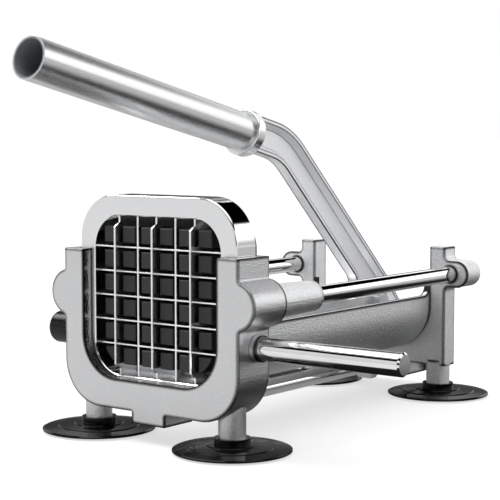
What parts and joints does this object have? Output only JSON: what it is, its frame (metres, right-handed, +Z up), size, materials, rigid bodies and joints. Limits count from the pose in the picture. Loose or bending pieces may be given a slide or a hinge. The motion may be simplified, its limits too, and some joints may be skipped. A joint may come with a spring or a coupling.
{
  "type": "french fry cutter",
  "caption": "Bench-top french fry cutter: long lever drives a pegged pusher along guide rods through a drop-in blade grid, on suction feet.",
  "frame": {"origin": "on the table plane, under the centre of the overall bounding box", "axes": "+X to the side with the steadying bar, +Y from the blade grid to the lever pivot, +Z up"},
  "size_m": [0.2214, 0.3266, 0.2016],
  "materials": {
    "cast_aluminium": "satin as cast, fine grain",
    "polished_aluminium": "satin face, polished sides",
    "blade_steel": "bright ground stainless steel",
    "chrome_rod": "mirror chrome",
    "handle_steel": "fine brushed stainless tube",
    "bar_steel": "flat stainless bar",
    "zinc_hardware": "plain bright steel",
    "bush_bronze": "dull bearing bronze",
    "black_plastic": "moulded black, slight gloss",
    "knob_plastic": "black, glossy",
    "black_rubber": "glossy black rubber"
  },
  "bodies": {
    "frame": {"cassette_frame": "polished_aluminium", "cup_screw_front_left": "zinc_hardware", "cup_screw_front_right": "zinc_hardware", "cup_screw_rear_left": "zinc_hardware", "cup_screw_rear_right": "zinc_hardware", "feed_tray": "cast_aluminium", "front_frame": "cast_aluminium", "fulcrum_bolt": "zinc_hardware", "fulcrum_nut": "zinc_hardware", "guide_rod_left": "chrome_rod", "guide_rod_right": "chrome_rod", "horizontal_blade_1": "blade_steel", "horizontal_blade_2": "blade_steel", "horizontal_blade_3": "blade_steel", "horizontal_blade_4": "blade_steel", "horizontal_blade_5": "blade_steel", "rear_frame": "cast_aluminium", "rod_lock_screw_left": "zinc_hardware", "rod_lock_screw_right": "zinc_hardware", "side_bar": "chrome_rod", "suction_cup_front_left": "black_rubber", "suction_cup_front_right": "black_rubber", "suction_cup_rear_left": "black_rubber", "suction_cup_rear_right": "black_rubber", "tie_rod": "chrome_rod", "tie_rod_nut": "zinc_hardware", "vertical_blade_1": "blade_steel", "vertical_blade_2": "blade_steel", "vertical_blade_3": "blade_steel", "vertical_blade_4": "blade_steel", "vertical_blade_5": "blade_steel"},
    "clamp": {"clamp_knob": "knob_plastic", "clamp_screw": "zinc_hardware"},
    "pusher": {"bar_bolt_front": "zinc_hardware", "bar_bolt_rear": "zinc_hardware", "bar_nut_front": "zinc_hardware", "bar_nut_rear": "zinc_hardware", "block_screw_1": "zinc_hardware", "block_screw_2": "zinc_hardware", "block_screw_3": "zinc_hardware", "block_screw_4": "zinc_hardware", "drive_bar_left": "bar_steel", "drive_bar_right": "bar_steel", "drive_pin": "zinc_hardware", "drive_pin_nut": "zinc_hardware", "drive_roller": "zinc_hardware", "guide_bush_left": "bush_bronze", "guide_bush_right": "bush_bronze", "pusher_block": "black_plastic", "pusher_carriage": "cast_aluminium"},
    "lever": {"fulcrum_bush": "bush_bronze", "handle_collar": "polished_aluminium", "handle_tube": "handle_steel", "lever_arm": "cast_aluminium"}
  },
  "joints": [
    {"name": "lever_swing", "type": "hinge", "parent": "frame", "child": "lever", "pos_m": [-0.0323, 0.15402, 0.01795], "axis": [-1, 0, 0], "range_deg": [0, 90]},
    {"name": "pusher_slide", "type": "slide", "parent": "frame", "child": "pusher", "axis": [0, 1, 0], "range_m": [0, 0.066]},
    {"name": "clamp_turn", "type": "hinge", "parent": "frame", "child": "clamp", "pos_m": [-0.0973, -0.06598, 0.05185], "axis": [1, 0, 0], "continuous": true}
  ],
  "couplings": [
    {"joint": "pusher_slide", "follows": "lever_swing", "m_per_rad": 0.042017}
  ]
}
